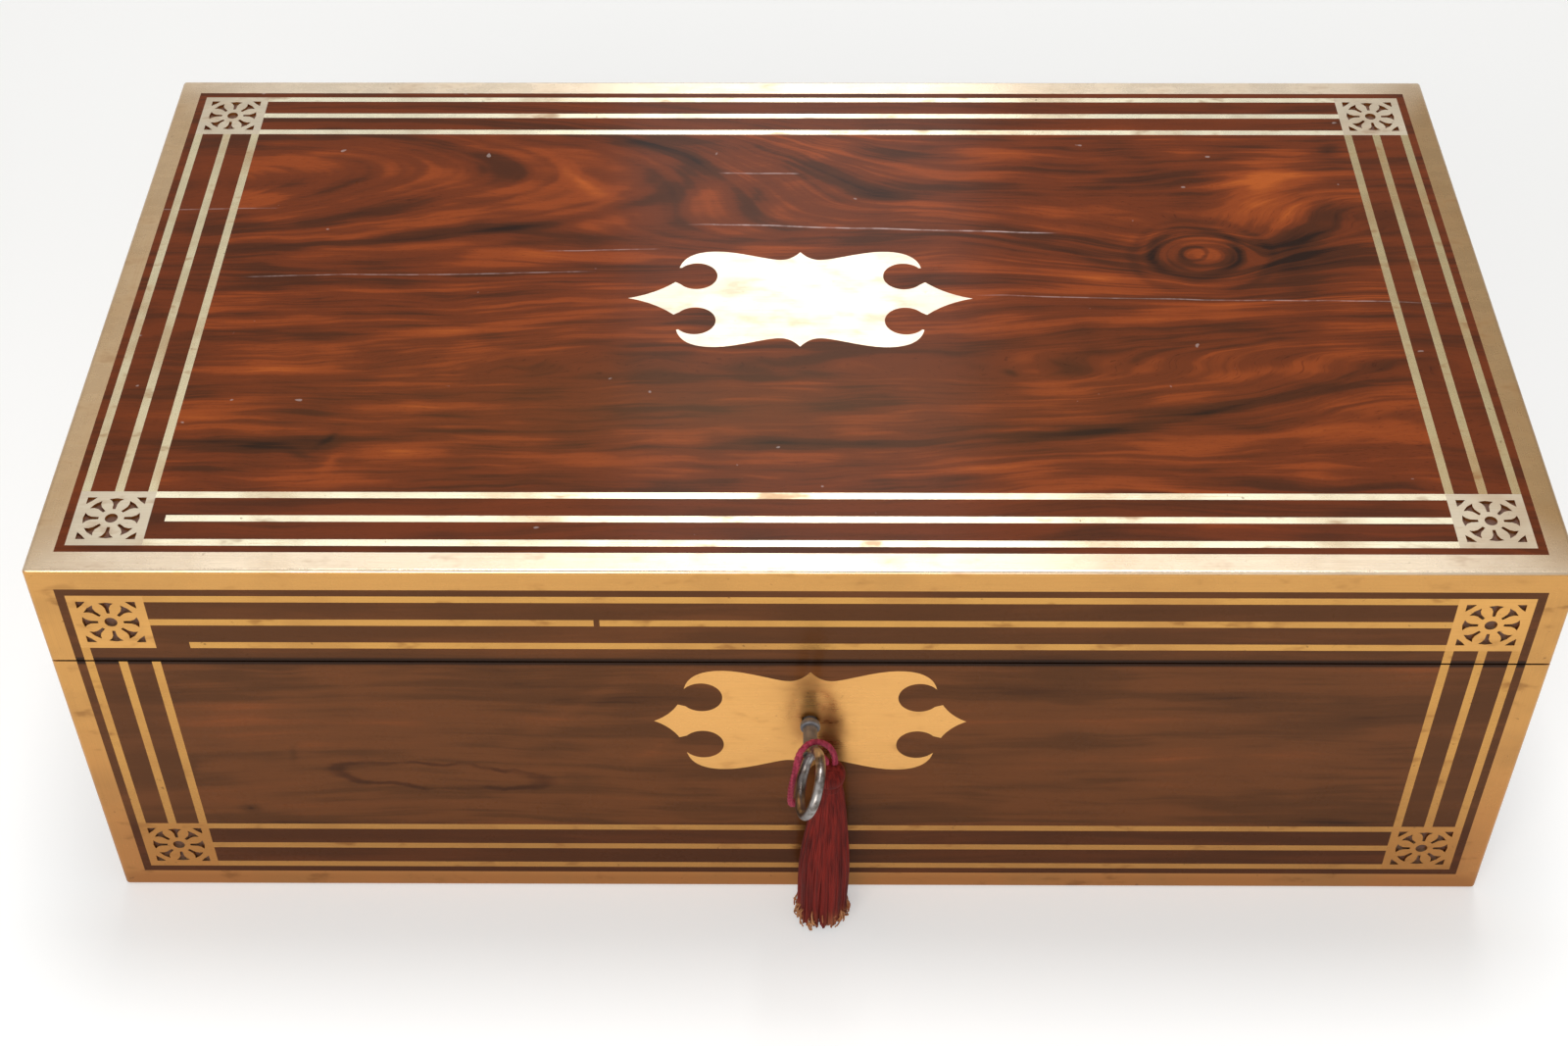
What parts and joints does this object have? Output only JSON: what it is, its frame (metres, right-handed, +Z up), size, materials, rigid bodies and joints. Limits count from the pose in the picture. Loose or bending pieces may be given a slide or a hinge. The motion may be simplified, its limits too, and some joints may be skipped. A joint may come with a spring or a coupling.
{
  "type": "writing slope",
  "caption": "Closed sloping writing box in rosewood veneer with brass edging, brass inlay and corner squares, a key with a tassel in its lock, hinged lid and writing flaps.",
  "frame": {"origin": "centre of the underside, on the surface the box stands on", "axes": "+X along the width to the right of someone facing the lock, +Y from the lock side to the hinges, +Z up"},
  "size_m": [0.406, 0.2599, 0.136],
  "materials": {
    "rosewood": "french polished",
    "mahogany": "satin",
    "edging_brass": "polished",
    "inlay_brass": "polished",
    "fittings_brass": "satin",
    "steel": "aged",
    "mastic": "dull filling",
    "writing_leather": "smooth",
    "ink_glass": "clear",
    "silk_cord": "twisted silk",
    "silk_tassel": "silk strands"
  },
  "bodies": {
    "base": {"base_front_board": "mahogany", "base_back_board": "mahogany", "base_left_board": "mahogany", "base_right_board": "mahogany", "base_bottom_board": "mahogany", "base_front_veneer": "rosewood", "base_side_veneers": "rosewood", "base_bottom_edging": "edging_brass", "base_corner_edging": "edging_brass", "base_front_stringing": "inlay_brass", "base_front_corner_squares": "inlay_brass", "base_mastic_beds": "mastic", "escutcheon": "inlay_brass", "lock_case": "fittings_brass", "hinge_base_leaves": "fittings_brass", "hinge_pins": "steel", "base_screws": "fittings_brass", "right_handle_pan": "fittings_brass", "left_handle_pan": "fittings_brass", "handle_pins": "fittings_brass", "base_flap_pins": "fittings_brass", "base_flap_rests": "mahogany", "till_floor": "mahogany", "till_back": "rosewood", "till_dividers": "rosewood", "pen_tray": "mahogany", "inkwells": "ink_glass", "inkwell_caps": "fittings_brass"},
    "lid": {"lid_front_rail": "mahogany", "lid_back_rail": "mahogany", "lid_left_rail": "mahogany", "lid_right_rail": "mahogany", "lid_top_board": "mahogany", "lid_top_veneer": "rosewood", "lid_front_veneer": "rosewood", "lid_side_veneers": "rosewood", "lid_top_edging": "edging_brass", "lid_corner_edging": "edging_brass", "lid_top_stringing": "inlay_brass", "lid_front_stringing": "inlay_brass", "lid_top_corner_squares": "inlay_brass", "lid_front_corner_squares": "inlay_brass", "lid_mastic_beds": "mastic", "cartouche": "inlay_brass", "hinge_lid_leaves": "fittings_brass", "link_plate": "fittings_brass", "lid_screws": "fittings_brass", "lid_flap_pins": "fittings_brass", "lid_flap_rests": "mahogany"},
    "base_flap": {"base_flap_board": "mahogany", "base_flap_leather": "writing_leather"},
    "lid_flap": {"lid_flap_board": "mahogany", "lid_flap_leather": "writing_leather"},
    "cord_loop": {"tassel_cord_loop": "silk_cord"},
    "key": {"key": "steel"},
    "tassel": {"tassel_head": "silk_tassel", "tassel_skirt": "silk_tassel"},
    "bolt": {"lock_bolt": "steel"},
    "right_bail": {"right_handle_bail": "fittings_brass"},
    "left_bail": {"left_handle_bail": "fittings_brass"}
  },
  "joints": [
    {"name": "lid_hinge", "type": "hinge", "parent": "base", "child": "lid", "pos_m": [0, 0.1123, 0.068], "axis": [-1, 0, 0], "range_deg": [0, 180]},
    {"name": "base_flap_hinge", "type": "hinge", "parent": "base", "child": "base_flap", "pos_m": [0, 0.09466, 0.06574], "axis": [-1, 0, 0], "range_deg": [0, 45]},
    {"name": "lid_flap_hinge", "type": "hinge", "parent": "lid", "child": "lid_flap", "pos_m": [0, 0.09605, 0.07524], "axis": [1, 0, 0], "range_deg": [0, 36]},
    {"name": "key_pull", "type": "slide", "parent": "base", "child": "cord_loop", "axis": [0, -1, 0], "range_m": [0, 0.03]},
    {"name": "key_turn", "type": "hinge", "parent": "cord_loop", "child": "key", "pos_m": [0.003, 0, 0.0765], "axis": [0, 1, 0], "range_deg": [0, 360]},
    {"name": "bolt_slide", "type": "slide", "parent": "base", "child": "bolt", "axis": [1, 0, 0], "range_m": [0, 0.005]},
    {"name": "tassel_swing", "type": "hinge", "parent": "cord_loop", "child": "tassel", "pos_m": [0.0086, -0.1214, 0.065], "axis": [-1, 0, 0], "range_deg": [-3, 60]},
    {"name": "right_bail_hinge", "type": "hinge", "parent": "base", "child": "right_bail", "pos_m": [0.1999, 0, 0.053], "axis": [0, -1, 0], "range_deg": [0, 90]},
    {"name": "left_bail_hinge", "type": "hinge", "parent": "base", "child": "left_bail", "pos_m": [-0.1999, 0, 0.053], "axis": [0, 1, 0], "range_deg": [0, 90]}
  ],
  "couplings": [
    {"joint": "base_flap_hinge", "follows": "lid_hinge", "ratio": 0.25},
    {"joint": "lid_flap_hinge", "follows": "lid_hinge", "ratio": 0.2},
    {"joint": "key_turn", "follows": "bolt_slide", "rad_per_m": 1256}
  ]
}
